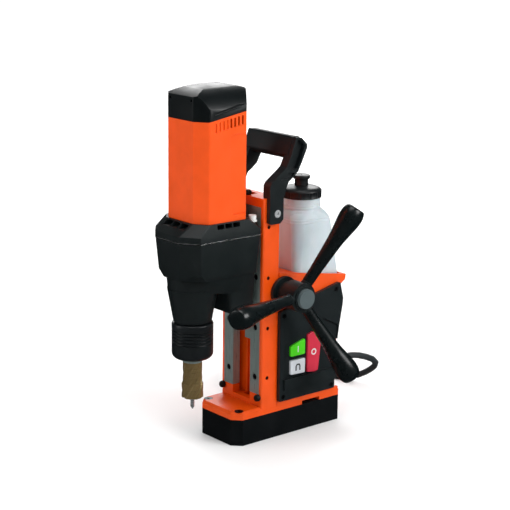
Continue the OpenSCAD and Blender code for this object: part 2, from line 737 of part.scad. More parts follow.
module ball_bearings() {
  color(steel) {
    bearing(spindle_axis, lower_bearing_z, 10 + run, 21, 12);
    bearing(spindle_axis, plate_low - 1.5, 6 + run, 14, 7.5);
    bearing(armature_axis, plate_low + 8.7, 5 + run, 13, 7.8);
    bearing(armature_axis, 402, 4 + run, 11, 7);
  }
}
module end_shield() {
  color("dimgray") difference() {
    union() {
      slab(motor_outline(3.01), 398, 408);
      at(armature_axis) post(15, 397, 411);
      at(armature_axis) for (s = [1, -1]) translate([0, s * 26, 390]) cube([12, 16, 16.2], center = true);
    }
    at(armature_axis) {
      post(11, 402, 409);
      post(6, 396, 412);
      for (s = [1, -1]) translate([0, s * 25, 386]) cube([6.1, 20, 8.1], center = true);
    }
    for (x = [-130, -78], y = [-26, 26]) translate([x, y, 0]) post(7, 397, 409);
  }
}
module armature() {
  color("peru") at(armature_axis) post(21.5, 314, 362);
  color(steel) at(armature_axis) {
    post(5, plate_low - 0.5, 314.01);
    post(5, 361.9, 402);
    post(4, 401.9, 410);
    translate([0, 0, plate_low - 8.5]) linear_extrude(8.1) polygon(gear_points(armature_teeth, m1));
  }
  color("goldenrod") at(armature_axis) post(14, 378, 394);
}
module cooling_fan() {
  color("dimgray") at(armature_axis) {
    difference() {
      post(31, 292, 294);
      post(5, 291, 295);
    }
    difference() {
      post(9, 293.9, 302);
      post(5, 291, 303);
    }
    for (i = [0 : 11]) rotate(i * 30) translate([8.5, -0.9, 293.9]) cube([21, 1.8, 7]);
  }
}
first_phase = mesh_phase(armature_axis, armature_teeth, 0, first_axis, first_teeth);
second_phase = mesh_phase(first_axis, first_pinion, 0, second_axis, second_teeth);
spindle_phase = mesh_phase(second_axis, second_pinion, 0, spindle_axis, spindle_teeth);
module first_gear() {
  color(steel) at(first_axis) {
    post(4, gear_floor - 5, plate_low + 4);
    translate([0, 0, plate_low - 8.5]) linear_extrude(7) polygon(gear_points(first_teeth, m1, first_phase));
    translate([0, 0, 244]) linear_extrude(8) polygon(gear_points(first_pinion, m2));
  }
}
module second_gear() {
  color(steel) at(second_axis) {
    post(4, gear_floor - 5, plate_low + 4);
    translate([0, 0, 244.5]) linear_extrude(7) polygon(gear_points(second_teeth, m2, second_phase));
    translate([0, 0, 229]) linear_extrude(13) polygon(gear_points(second_pinion, m3));
  }
}

// ---- spindle and tool holder ----

shank_r = 9.5;
module spindle() {
  color(steel) at(spindle_axis) difference() {
    union() {
      post(12.3, 112, 117.01);
      post(15, 117, 160);
      post(20.8, 135, 139);
      post(12.5, 159.9, lower_bearing_z - 0.2);
      post(10, 159.9, 244);
      post(6, 243.9, plate_low + 5.5);
    }
    post(shank_r + run, 111, 150);
    post(5, 149.9, 172);
    for (a = [0 : 90 : 270]) rotate(a) rod_x(0, 126, 2.5, 9, 16);
  }
}
module locking_balls() {
  color("silver") at(spindle_axis, 126) for (a = [0 : 90 : 270]) rotate(a) translate([12.2, 0, 0])
    sphere(r = 2.4);
}
module spindle_gear() {
  color(steel) at(spindle_axis) difference() {
    translate([0, 0, 229]) linear_extrude(12) polygon(gear_points(spindle_teeth, m3, spindle_phase));
    post(10, 228, 243);
  }
}
module locking_sleeve() {
  grooves = [for (i = [0 : 4]) 137 + i * 4];
  outside = [[16, 117], [20.5, 117.2], [23.2, 118.8], [25.1, 121], [25.8, 123.5], [25.8, 161.6], [24.4, 163]];
  inside = [[15 + run, 163], [15 + run, 160], [21, 160], [21, 134.5], [15 + run, 134.5], [15 + run, 117]];
  color(black) at(spindle_axis) difference() {
    rotate_extrude() polygon(concat(outside, inside));
    for (z = grooves) difference() {
      post(27, z, z + 1.6);
      post(24.9, z - 1, z + 3);
    }
  }
}
module sleeve_spring() { color(steel) sweep(spring_points(spindle_axis, 18, 140, 159, 6), 0.9, 6); }
module annular_cutter() {
  r = cutter_d / 2;
  color([0.38, 0.34, 0.24]) at(spindle_axis) difference() {
    union() {
      post(shank_r, 111, 146);
      post(12.1, 84, 111.99);
      post(r, 65, 84.01);
    }
    post(pilot_d / 2 + run, 60, 150);
    post(10.4, 60, 100);
    for (a = [0 : 60 : 300]) rotate(a) {
      translate([9, -1.6, 60]) rotate([12, 0, 0]) cube([6, 3.2, 26]);
      translate([9, 1, 60]) rotate([35, 0, 0]) cube([6, 4, 8]);
    }
  }
}
module pilot_pin() {
  color(steel) at(spindle_axis) {
    translate([0, 0, 49.3]) cylinder(r1 = 0.4, r2 = pilot_d / 2, h = 3.2);
    post(pilot_d / 2, 52.49, 152);
    post(4.6, 151, 154);
  }
}
module pin_spring() { color(steel) sweep(spring_points(spindle_axis, 3.6, 154.7, 171.2, 6), 0.6, 6); }

// ---- coolant bottle ----

bottle_x = 49.5;
bottle_low = 189.2;
foot_high = 193.4;                   // where the rounded edge of the foot ends
shoulder_z = 263;                    // the walls lean in slightly up to here, then close over
neck_low = 284;
cap_low = 298.5;
cap_side = 9.5;                      // height of the cap's ribbed wall
cap_h = 14.5;
stem_h = 20.5;                       // height of the spout above the cap's lower edge
collar_r = 24.4;
neck_r = 21;
wall = 1.6;
function bottle_outline(inset, corner) = let (half = bottle_l / 2 - inset)
  rounded(box_outline(bottle_x - half, bottle_x + half, bottle_w / 2 - inset), corner, 6);
module bottle_shape(t) {
  hull() {
    slab(bottle_outline(3 + t, 8), bottle_low + t, bottle_low + t + 0.1);
    slab(bottle_outline(t, 9), foot_high, foot_high + 0.1);
    slab(bottle_outline(6 + t, 14 - t), shoulder_z, shoulder_z + 0.1);
  }
  hull() {
    slab(bottle_outline(6 + t, 14 - t), shoulder_z, shoulder_z + 0.1);
    slab(bottle_outline(7 + t, 15 - t), 272 - t / 2, 272.1 - t / 2);
    slab(bottle_outline(10 + t, 18 - t), 279 - t, 279.1 - t);
    at([bottle_x, 0]) post(collar_r - t, shoulder_z, neck_low + 0.1 - t);
  }
}
module coolant_bottle() {
  color([0.75, 0.82, 0.85, 0.5]) difference() {
    union() {
      bottle_shape(0);
      at([bottle_x, 0]) {
        post(collar_r, neck_low, cap_low - 0.3);
        post(neck_r, neck_low, cap_low + 8.6);
      }
    }
    bottle_shape(wall);
    at([bottle_x, 0]) post(neck_r - 2, shoulder_z, cap_low + cap_side);
  }
}
module bottle_cap() {
  color(black) at([bottle_x, 0]) difference() {
    union() {
      translate([0, 0, cap_low]) rotate_extrude() polygon([[0, 0], [25.2, 0], [25.2, cap_side], [24, 11.4],
        [20.5, 13], [15, 14.1], [12, cap_h], [0, cap_h]]);
      for (a = [0 : 15 : 345]) rotate(a) translate([25.2, 0, cap_low + 0.4])
        cylinder(r = 1.1, h = cap_side - 1, $fn = 16);
      post(6.5, cap_low + cap_h - 0.1, cap_low + stem_h);
    }
    post(neck_r + 0.3, cap_low - 1, cap_low + 9);
    post(2.5, cap_low, cap_low + stem_h + 1);
  }
}
module pull_valve() {
  color(black) at([bottle_x, 0]) difference() {
    union() {
      post(8.8, cap_low + cap_h + 0.2, cap_low + stem_h + 3.1);
      post(11, cap_low + stem_h + 3, cap_low + stem_h + 8);
    }
    post(6.5 + run, cap_low + cap_h, cap_low + stem_h + 0.3);
    post(1.2, cap_low + stem_h - 1, cap_low + stem_h + 9);
  }
}

magnet_body();
magnet_coil();
base_casting();
plate_screws();
guide_rails();
rail_screws();
gib_screws();
lower_stops();
top_stop();
rear_housing();
control_panel();
panel_screws();
start_button();
stop_button();
magnet_button();
switch_block();
circuit_board();
carry_handle();
handle_bolts();
cable_gland();
cord_run();
cord_coil();
cord_tail();
mains_plug();
side_flange();
shaft_bushes();
pinion_shaft();
feed_hub();
hub_cap();
lever_rods();
lever_grip_1();
lever_grip_2();
lever_grip_3();
gear_housing();
gear_plate();
motor_flange();
carriage_slide();
feed_rack();
motor_housing();
motor_cap();
stator();
end_shield();
carbon_brushes();
ball_bearings();
coolant_fitting();
armature();
cooling_fan();
first_gear();
second_gear();
spindle();
locking_balls();
spindle_gear();
locking_sleeve();
sleeve_spring();
annular_cutter();
pilot_pin();
pin_spring();
coolant_bottle();
bottle_cap();
pull_valve();
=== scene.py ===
import math

import bmesh
import bpy
from mathutils import Matrix, Vector


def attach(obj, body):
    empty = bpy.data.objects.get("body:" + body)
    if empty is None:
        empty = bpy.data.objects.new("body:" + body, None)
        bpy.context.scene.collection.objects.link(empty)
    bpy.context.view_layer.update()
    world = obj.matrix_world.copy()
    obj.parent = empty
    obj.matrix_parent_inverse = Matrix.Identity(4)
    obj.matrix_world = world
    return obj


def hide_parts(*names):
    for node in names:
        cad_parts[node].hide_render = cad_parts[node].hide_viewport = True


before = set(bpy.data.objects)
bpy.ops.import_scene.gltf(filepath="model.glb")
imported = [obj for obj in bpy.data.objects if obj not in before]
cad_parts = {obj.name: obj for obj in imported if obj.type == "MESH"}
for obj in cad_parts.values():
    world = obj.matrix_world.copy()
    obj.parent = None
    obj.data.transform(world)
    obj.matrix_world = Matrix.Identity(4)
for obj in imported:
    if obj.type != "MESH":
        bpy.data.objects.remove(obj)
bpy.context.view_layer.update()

MM = 0.001
scene = bpy.context.scene


# ---- camera ----

def add_camera():
    """A long lens, low on the drill's front left corner, as a catalogue picture is taken."""
    camera = bpy.data.objects.new("camera", bpy.data.cameras.new("camera"))
    camera.data.lens = 105.9
    camera.data.clip_end = 100
    camera.location = (-1.2064, -1.4083, 0.6861)
    camera.rotation_euler = [math.radians(a) for a in (76.122, -0.636, -39.798)]
    scene.collection.objects.link(camera)
    scene.camera = camera


# ---- the mains cord ----

CORD_D = 8.5
CORD_ROUTE = [
    (121, -12, 72), (135, -12, 71.5), (149, -12, 68.5), (163, -12, 63.5), (177, -10, 57),
    (190, -3, 48), (199, 8, 38), (204, 21, 29), (206, 35, 20), (206, 49, 12.5), (205, 63, 7),
    (201, 77, 4.25), (194, 91, 4.25), (185, 105, 4.25), (179, 119, 4.25),
]
CORD_TAIL = [
    (93, 67.7, 38.3), (101.5, 64, 38.5), (110, 60.4, 38.9), (121, 57.6, 39.6), (133.4, 58.7, 40.5),
    (144.7, 64, 41.4), (153.6, 72.9, 42.2), (158.5, 83, 42.8), (160, 93.5, 43),
]
COIL_CENTRE = (115, 120)
COIL_OUTER = 6 * CORD_D + 1.5 * CORD_D     # centreline radius of the outermost turn
COIL_INNER = 6 * CORD_D - 1.5 * CORD_D
COIL_LAYERS = 4


def coil_points():
    """Spiral layers, inwards and outwards in turn, each a cord's diameter above the last."""
    points, angle, floor = [], 0.0, CORD_D / 2
    step = 2 * math.pi / 24
    climb = 4                               # steps from one layer to the next

    def run(steps, r0, r1, z0, z1):
        nonlocal angle
        for i in range(1, steps + 1):
            angle += step
            share = i / steps
            rise = share * share * (3 - 2 * share)
            r = r0 + (r1 - r0) * share
            points.append((COIL_CENTRE[0] + r * math.cos(angle),
                           COIL_CENTRE[1] + r * math.sin(angle), z0 + (z1 - z0) * rise))

    ends = [COIL_OUTER, COIL_INNER]
    for layer in range(COIL_LAYERS - 1):
        z = floor + layer * CORD_D
        run(72, ends[0], ends[1], z, z)
        run(climb, ends[1], ends[1], z, z + CORD_D)
        ends.reverse()
    z = floor + (COIL_LAYERS - 1) * CORD_D
    last = COIL_INNER + 2.0 * CORD_D
    run(48, COIL_INNER, last, z, z)
    run(climb, last, COIL_INNER + 2.19 * CORD_D, z, CORD_TAIL[0][2])
    return points


def add_cord():
    points = CORD_ROUTE + coil_points() + CORD_TAIL
    curve = bpy.data.curves.new("mains_cord", "CURVE")
    curve.dimensions = "3D"
    curve.bevel_depth = CORD_D / 2 * MM
    curve.bevel_resolution = 4
    curve.use_fill_caps = True
    spline = curve.splines.new("POLY")
    spline.points.add(len(points) - 1)
    for point, place in zip(spline.points, points):
        point.co = (*(c * MM for c in place), 1)
    spline.use_smooth = True
    cord = bpy.data.objects.new("mains_cord", curve)
    scene.collection.objects.link(cord)
    curve.materials.append(bpy.data.materials["cord_black"])
    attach(cord, "stand")
    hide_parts("cord_run", "cord_coil", "cord_tail")


# ---- stage ----

def add_floor():
    size = 40
    mesh = bpy.data.meshes.new("studio_floor")
    mesh.from_pydata([(x * size, y * size, -0.0002) for x, y in ((-1, -1), (1, -1), (1, 1), (-1, 1))],
                     [], [(0, 1, 2, 3)])
    floor = bpy.data.objects.new("studio_floor", mesh)
    scene.collection.objects.link(floor)
    floor.visible_glossy = False
    pale = bpy.data.materials.new("studio_white")
    pale.use_nodes = True
    shader = pale.node_tree.nodes["Principled BSDF"]
    shader.inputs["Base Color"].default_value = (0.93, 0.93, 0.93, 1)
    shader.inputs["Roughness"].default_value = 1
    shader.inputs["Specular IOR Level"].default_value = 0
    shader.inputs["Emission Color"].default_value = (1, 1, 1, 1)
    tree = pale.node_tree
    coords = tree.nodes.new("ShaderNodeTexCoord")
    away = tree.nodes.new("ShaderNodeVectorMath")
    away.operation = "LENGTH"
    glow = tree.nodes.new("ShaderNodeMapRange")     # the far floor, out of the lamps' reach, glows a little
    for socket, value in (("From Min", 0.5), ("From Max", 2.5), ("To Min", 0.0), ("To Max", 0.45)):
        glow.inputs[socket].default_value = value
    tree.links.new(coords.outputs["Object"], away.inputs[0])
    tree.links.new(away.outputs["Value"], glow.inputs["Value"])
    tree.links.new(glow.outputs["Result"], shader.inputs["Emission Strength"])
    mesh.materials.append(pale)


def add_wall():
    """A round white wall far behind everything, seen by the camera only, so the sky reads as white."""
    radius, height, count = 38, 30, 48
    ring = [(radius * math.cos(2 * math.pi * k / count), radius * math.sin(2 * math.pi * k / count))
            for k in range(count)]
    mesh = bpy.data.meshes.new("studio_wall")
    mesh.from_pydata([(x, y, z) for z in (-1, height) for x, y in ring], [],
                     [(k, (k + 1) % count, count + (k + 1) % count, count + k) for k in range(count)])
    wall = bpy.data.objects.new("studio_wall", mesh)
    scene.collection.objects.link(wall)
    wall.visible_diffuse = wall.visible_glossy = wall.visible_transmission = wall.visible_shadow = False
    white = bpy.data.materials.new("studio_glow")
    white.use_nodes = True
    shader = white.node_tree.nodes["Principled BSDF"]
    shader.inputs["Base Color"].default_value = (0, 0, 0, 1)
    shader.inputs["Emission Color"].default_value = (1, 1, 1, 1)
    shader.inputs["Emission Strength"].default_value = 1
    mesh.materials.append(white)


def add_softbox(name, place, target, size, watts):
    light = bpy.data.lights.new(name, "AREA")
    light.shape = "RECTANGLE"
    light.size, light.size_y = size
    light.energy = watts
    lamp = bpy.data.objects.new(name, light)
    lamp.location = place
    lamp.rotation_euler = (Vector(target) - Vector(place)).to_track_quat("-Z", "Y").to_euler()
    lamp.visible_camera = False
    scene.collection.objects.link(lamp)


def add_lights():
    scene.view_settings.view_transform = "Standard"
    world = bpy.data.worlds.new("studio")
    world.use_nodes = True
    world.node_tree.nodes["Background"].inputs["Color"].default_value = (1, 1, 1, 1)
    world.node_tree.nodes["Background"].inputs["Strength"].default_value = 0.66
    world.cycles_visibility.glossy = False
    scene.world = world
    middle = (0, 0, 0.22)
    add_softbox("key", (0.9, -2.2, 1.5), middle, (1.6, 1.2), 42)
    add_softbox("rim", (-2.2, 1.2, 1.0), middle, (0.8, 1.6), 9)
    add_softbox("back", (1.7, 2.0, 1.5), middle, (1.7, 1.3), 34)
    add_softbox("top", (-0.4, -0.3, 2.4), middle, (1.4, 1.4), 18)


# ---- materials ----

def srgb(*values):
    """A colour given as it looks on screen, 0 to 255, as the shader's linear colour."""
    share = [v / 255 for v in values]
    return [c / 12.92 if c <= 0.04045 else ((c + 0.055) / 1.055) ** 2.4 for c in share]


class Graph:
    """A material's nodes, cleared and rebuilt around one Principled shader."""

    def __init__(self, slot):
        self.material = bpy.data.materials.get(slot) or bpy.data.materials.new(slot)
        self.material.use_nodes = True
        self.tree = self.material.node_tree
        self.tree.nodes.clear()
        self.shader = self.node("ShaderNodeBsdfPrincipled")
        output = self.node("ShaderNodeOutputMaterial")
        self.link(self.shader, "BSDF", output, "Surface")
        self.coords = self.node("ShaderNodeTexCoord")

    def node(self, kind, **values):
        made = self.tree.nodes.new(kind)
        for name, value in values.items():
            setattr(made, name, value)
        return made

    def link(self, a, out, b, into):
        self.tree.links.new(a.outputs[out], b.inputs[into])

    def set(self, **sockets):
        for name, value in sockets.items():
            self.shader.inputs[name.replace("_", " ")].default_value = value

    def noise(self, size_mm, detail=3.0, stretch=(1, 1, 1)):
        """Noise whose features are about size_mm across, drawn out along an axis by a small stretch."""
        mapping = self.node("ShaderNodeMapping")
        mapping.inputs["Scale"].default_value = stretch
        self.link(self.coords, "Object", mapping, "Vector")
        noise = self.node("ShaderNodeTexNoise")
        noise.inputs["Scale"].default_value = 1 / (size_mm * MM)
        noise.inputs["Detail"].default_value = detail
        self.link(mapping, "Vector", noise, "Vector")
        return noise

    def colours(self, source, out, dark, light, low=0.3, high=0.7):
        ramp = self.node("ShaderNodeValToRGB")
        ramp.color_ramp.elements[0].position = low
        ramp.color_ramp.elements[0].color = (*dark, 1)
        ramp.color_ramp.elements[1].position = high
        ramp.color_ramp.elements[1].color = (*light, 1)
        self.link(source, out, ramp, "Fac")
        self.link(ramp, "Color", self.shader, "Base Color")

    def gloss(self, source, out, low, high):
        spread = self.node("ShaderNodeMapRange")
        spread.inputs["From Min"].default_value = 0.3
        spread.inputs["From Max"].default_value = 0.7
        spread.inputs["To Min"].default_value = low
        spread.inputs["To Max"].default_value = high
        self.link(source, out, spread, "Value")
        self.link(spread, "Result", self.shader, "Roughness")

    def bump(self, source, out, depth_mm, strength=1.0):
        bump = self.node("ShaderNodeBump")
        bump.inputs["Distance"].default_value = depth_mm * MM
        bump.inputs["Strength"].default_value = strength
        self.link(source, out, bump, "Height")
        self.link(bump, "Normal", self.shader, "Normal")


def coated(slot, colour, rough, grain_mm=0.8, depth_mm=0.02, mottle=0.06, patch_mm=22, **sockets):
    """Paint, powder coat or moulded plastic: a fine grain, and colour and gloss that drift a little."""
    graph = Graph(slot)
    patches = graph.noise(patch_mm, 4)
    base = srgb(*colour)
    graph.colours(patches, "Fac", [c * (1 - mottle) for c in base], [min(1, c * (1 + mottle)) for c in base])
    graph.gloss(patches, "Fac", rough * 0.88, min(1, rough * 1.12))
    graph.bump(graph.noise(grain_mm, 2), "Fac", depth_mm)
    graph.set(**sockets)


def machined(slot, colour, rough, stretch=(1, 1, 1), streak_mm=0.6, depth_mm=0.01, mottle=0.12, metallic=1.0):
    """Bare metal with fine tool marks along one direction."""
    graph = Graph(slot)
    streaks = graph.noise(streak_mm, 3, stretch)
    base = srgb(*colour)
    graph.colours(streaks, "Fac", [c * (1 - mottle) for c in base], [min(1, c * (1 + mottle)) for c in base])
    graph.gloss(streaks, "Fac", rough * 0.75, min(1, rough * 1.3))
    graph.bump(streaks, "Fac", depth_mm)
    graph.set(Metallic=metallic)


def banded(slot, dark, light, rough, pitch_mm, metallic, direction="Z", depth_mm=0.08):
    """Stacked sheets or wound wire: even bands, a pitch apart."""
    graph = Graph(slot)
    wave = graph.node("ShaderNodeTexWave", wave_type="BANDS", bands_direction=direction)
    wave.inputs["Scale"].default_value = math.pi / (10 * pitch_mm * MM)
    wave.inputs["Distortion"].default_value = 0.4
    graph.link(graph.coords, "Object", wave, "Vector")
    graph.colours(wave, "Color", srgb(*dark), srgb(*light), 0.1, 0.9)
    graph.gloss(wave, "Color", rough, min(1, rough * 1.2))
    graph.bump(wave, "Color", depth_mm)
    graph.set(Metallic=metallic)


def bottle_plastic():
    """Milky polyethylene that light passes through."""
    graph = Graph("clear_bottle")
    clouds = graph.noise(30, 3)
    graph.colours(clouds, "Fac", srgb(184, 196, 202), srgb(198, 208, 213))
    graph.gloss(clouds, "Fac", 0.4, 0.5)
    graph.bump(graph.noise(1.5, 2), "Fac", 0.02)
    graph.set(Transmission_Weight=0.22, IOR=1.5, Subsurface_Weight=0.2, Subsurface_Scale=0.01)


def make_materials():
    along_z = (1, 1, 0.03)
    rings_z = (0.03, 0.03, 1)
    coated("magnet_black", (9, 14, 17), 0.5, 1.0, 0.03, 0.1, Specular_IOR_Level=0.3)
    coated("orange_casting", (222, 74, 0), 0.4, 1.1, 0.03, Specular_IOR_Level=0.28)
    coated("orange_shell", (222, 74, 0), 0.4, 1.1, 0.03, Specular_IOR_Level=0.28)
    coated("orange_plastic", (226, 75, 0), 0.38, 0.6, 0.012, Specular_IOR_Level=0.28)
    coated("black_gearbox", (19, 27, 28), 0.46, 0.9, 0.03, 0.1, Specular_IOR_Level=0.4)
    coated("black_casting", (19, 27, 28), 0.44, 0.9, 0.03, 0.1, Specular_IOR_Level=0.4)
    coated("black_cap", (9, 16, 18), 0.38, 0.5, 0.015, 0.1, Specular_IOR_Level=0.5)
    coated("black_panel", (22, 30, 32), 0.45, 0.5, 0.02, 0.1, Specular_IOR_Level=0.4)
    coated("black_handle", (19, 26, 28), 0.42, 0.6, 0.02, 0.1, Specular_IOR_Level=0.5)
    coated("grip_black", (12, 19, 20), 0.28, 0.7, 0.02, 0.1, Specular_IOR_Level=0.5)
    coated("black_sleeve", (22, 26, 28), 0.3, 0.6, 0.01, 0.1, Specular_IOR_Level=0.6)
    coated("black_rubber", (16, 19, 20), 0.6, 0.5, 0.03, 0.1, Specular_IOR_Level=0.3)
    coated("bottle_black", (20, 24, 26), 0.4, 0.5, 0.015, 0.1, Specular_IOR_Level=0.5)
    coated("dark_plastic", (52, 56, 58), 0.5, 0.6, 0.02, 0.1)
    coated("cord_black", (46, 50, 52), 0.5, 0.5, 0.02, 0.1, Specular_IOR_Level=0.4)
    coated("plug_black", (24, 28, 30), 0.45, 0.5, 0.02, 0.1)
    coated("green_button", (76, 214, 20), 0.35, 0.4, 0.008, 0.04)
    coated("red_button", (200, 36, 62), 0.35, 0.4, 0.008, 0.04)
    coated("grey_button", (206, 211, 216), 0.35, 0.4, 0.008, 0.04)
    coated("light_plastic", (214, 216, 214), 0.35, 0.4, 0.01, 0.05)
    coated("cap_grey", (72, 84, 86), 0.42, 0.5, 0.01, 0.05)
    coated("copper_potting", (120, 60, 34), 0.35, 1.5, 0.05, 0.2)
    coated("carbon", (22, 22, 22), 0.7, 0.4, 0.03, 0.2)
    coated("board_green", (20, 84, 44), 0.35, 0.5, 0.01, 0.1, Coat_Weight=0.3)
    machined("dark_screws", (60, 62, 64), 0.4, depth_mm=0.004)
    machined("bright_screws", (206, 209, 211), 0.3, depth_mm=0.004, metallic=0.55)
    machined("ground_steel", (150, 166, 163), 0.34, along_z, metallic=0.6)
    machined("gear_steel", (184, 188, 190), 0.28, rings_z, metallic=0.75)
    machined("spring_steel", (150, 152, 155), 0.25, depth_mm=0.004)
    machined("bronze", (190, 140, 70), 0.32, rings_z)
    machined("seam_aluminium", (222, 224, 224), 0.3, rings_z)
    machined("cutter_bronze", (136, 116, 76), 0.36, rings_z, metallic=0.6)
    banded("lamination_steel", (70, 72, 76), (120, 122, 126), 0.4, 0.5, 1.0)
    bottle_plastic()


# ---- detailed pieces in place of CAD nodes ----

ROUND = 96                                  # points round a turned piece


def skin(name, body, slot, replaced, rings, place=Matrix.Identity(4), loop=False, sharp=38):
    """A surface through rings of points in mm, capped at its ends or closed on itself."""
    count = len(rings[0])
    points = [place @ (Vector(p) * MM) for ring in rings for p in ring]
    last = len(rings) if loop else len(rings) - 1
    faces = []
    for i in range(last):
        low, high = i * count, (i + 1) % len(rings) * count
        faces += [(low + k, low + (k + 1) % count, high + (k + 1) % count, high + k) for k in range(count)]
    if not loop:
        top = (len(rings) - 1) * count
        faces += [tuple(reversed(range(count))), tuple(top + k for k in range(count))]
    mesh = bpy.data.meshes.new(name)
    mesh.from_pydata(points, [], faces)
    shape = bmesh.new()
    shape.from_mesh(mesh)
    bmesh.ops.recalc_face_normals(shape, faces=shape.faces)
    shape.to_mesh(mesh)
    shape.free()
    mesh.shade_smooth()
    mesh.set_sharp_from_angle(angle=math.radians(sharp))
    piece = bpy.data.objects.new(name, mesh)
    scene.collection.objects.link(piece)
    mesh.materials.append(bpy.data.materials[slot])
    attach(piece, body)
    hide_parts(*replaced)


def ring(r, z, centre=(0, 0), dent=None):
    """A circle of points; dent(angle, z) is how far the surface lies inside it."""
    points = []
    for k in range(ROUND):
        a = 2 * math.pi * k / ROUND
        inner = max(r - (dent(a, z) if dent else 0), 0.01)
        points.append((centre[0] + inner * math.cos(a), centre[1] + inner * math.sin(a), z))
    return points


def eased(knots, steps=5):
    """A smooth line through (r, z) knots."""
    ends = [knots[0], *knots, knots[-1]]
    line = []
    for p0, p1, p2, p3 in zip(ends, ends[1:], ends[2:], ends[3:]):
        for i in range(steps):
            t = i / steps
            line.append(tuple(0.5 * (2 * b + (c - a) * t + (2 * a - 5 * b + 4 * c - d) * t * t
                                     + (3 * b - a - 3 * c + d) * t ** 3)
                              for a, b, c, d in zip(p0, p1, p2, p3)))
    return [*line, knots[-1]]


HUB = (-14, -69, 191)
LEVER_LEAN = 15
LEVER_ANGLES = (60, 180, 300)
GRIP = [(7.2, 22.2), (7.3, 34), (8.05, 50), (9.15, 70), (10.4, 86), (12.2, 98), (13.8, 108), (14.5, 114),
        (14.6, 118), (14.3, 123), (13.4, 126.6)]
GRIP_END = [(12.7, 128.4), (12.1, 129.7), (11.2, 130.6), (10, 131), (5, 131.1), (0.4, 131.1)]
GRIP_BORE = [(4.05, 100), (4.05, 22.2)]


def add_grips():
    for number, angle in enumerate(LEVER_ANGLES, 1):
        place = Matrix.Translation(Vector(HUB) * MM)
        for turn, axis in ((-angle, "Y"), (-LEVER_LEAN, "Z"), (90, "Y")):
            place = place @ Matrix.Rotation(math.radians(turn), 4, axis)
        line = [(0.4, 100), *GRIP_BORE, *eased(GRIP), *GRIP_END]
        skin(f"grip_{number}", "feed", "grip_black", [f"lever_grip_{number}"],
             [ring(r, z) for r, z in line], place)


SPINDLE = (-125.7, 0)
SLEEVE_TOP = [(25.8, 161.4), (25.4, 162.4), (24.4, 163), (15.3, 163), (15.3, 160), (21, 160), (21, 134.5),
              (15.3, 134.5), (15.3, 117)]
SLEEVE_FOOT = [(16, 117), (19, 117.05), (21.3, 117.6), (23.2, 118.8), (24.6, 120.4), (25.4, 122),
               (25.75, 124), (25.8, 130)]
FIRST_GROOVE, GROOVE_PITCH, GROOVES = 137, 4, 5
GROOVE = [(25.8, 0), (25.3, 0.15), (24.7, 0.4), (24.5, 0.8), (24.7, 1.2), (25.3, 1.45), (25.8, 1.6)]


def add_sleeve():
    line = list(SLEEVE_FOOT)
    for groove in range(GROOVES):
        foot = FIRST_GROOVE + GROOVE_PITCH * groove
        line += [(r, foot + rise) for r, rise in GROOVE]
    line += SLEEVE_TOP
    skin("sleeve", "sleeve", "black_sleeve", ["locking_sleeve"],
         [ring(r, z, SPINDLE) for r, z in line], loop=True)


FLUTES = 6
FLUTE_TWIST = 2.6                           # degrees round for each mm up
FLUTE_DEPTH = 1.5
FLUTE_TOP = 110
FLUTE_FADE = 6                              # height over which a flute runs out
CUTTER_FOOT = 65
TOOTH_RISE = 2.2


def flute(a, z):
    """Depth of the chip flutes wound round the cutter's wall."""
    if z > FLUTE_TOP:
        return 0
    phase = math.degrees(a) - FLUTE_TWIST * (z - CUTTER_FOOT)
    across = abs((phase * FLUTES / 360) % 1 - 0.5) * 2
    share = min(1, max(0, (across - 0.5) / 0.22))
    fade = min(1, (FLUTE_TOP - z) / FLUTE_FADE)
    return FLUTE_DEPTH * share * share * (3 - 2 * share) * fade


def add_cutter():
    outside = [(13.4, CUTTER_FOOT), *[(13.5, z) for z in range(66, 84)], (13.2, 84), (12.2, 84.6),
               *[(12.1, z) for z in range(85, 111)], (12.1, 111.4), (11.7, 111.9), (9.5, 112), (9.5, 145.6),
               (9.1, 146)]
    inside = [(2.56, 146), (2.56, 100), (10.4, 100), (10.4, CUTTER_FOOT)]
    rings = [ring(r, z, SPINDLE, flute) for r, z in outside]
    rings += [ring(r, z, SPINDLE) for r, z in inside]
    for k in range(ROUND):                  # raked teeth on the lower edge
        lift = TOOTH_RISE * ((k / ROUND * FLUTES) % 1)
        for which in (0, -1):
            x, y, z = rings[which][k]
            rings[which][k] = (x, y, z + min(lift, 0.9 if which == 0 else lift))
    skin("cutter", "cutter", "cutter_bronze", ["annular_cutter"], rings, loop=True, sharp=30)


BOTTLE_X = 49.5
CORNER_STEPS = 12
# height, half the length, half the width and corner radius of the bottle's outside
BOTTLE = [(189.3, 35.6, 32.6, 7), (189.9, 36.9, 33.9, 8), (191, 37.9, 34.9, 8.6), (193.4, 38.8, 35.8, 9),
          (263, 33, 30, 14), (268, 32.5, 29.5, 14.6), (272, 31.8, 28.8, 15.5), (276, 30.5, 27.8, 17),
          (279, 28.9, 26.8, 18.8), (281.5, 27, 25.7, 21), (283.5, 25.2, 24.8, 23.4),
          (284.5, 24.4, 24.4, 24.35), (298.1, 24.4, 24.4, 24.35)]
BOTTLE_RIDGES = (269.8, 273.4, 287, 290)
RIDGE_H, RIDGE_W = 0.5, 0.7
SHOULDER = 263
RING_STEP = 0.45                            # fine enough above the shoulder to draw the ridges
CORNER_GAP = 0.0004                         # keeps the doubled points between two corners apart


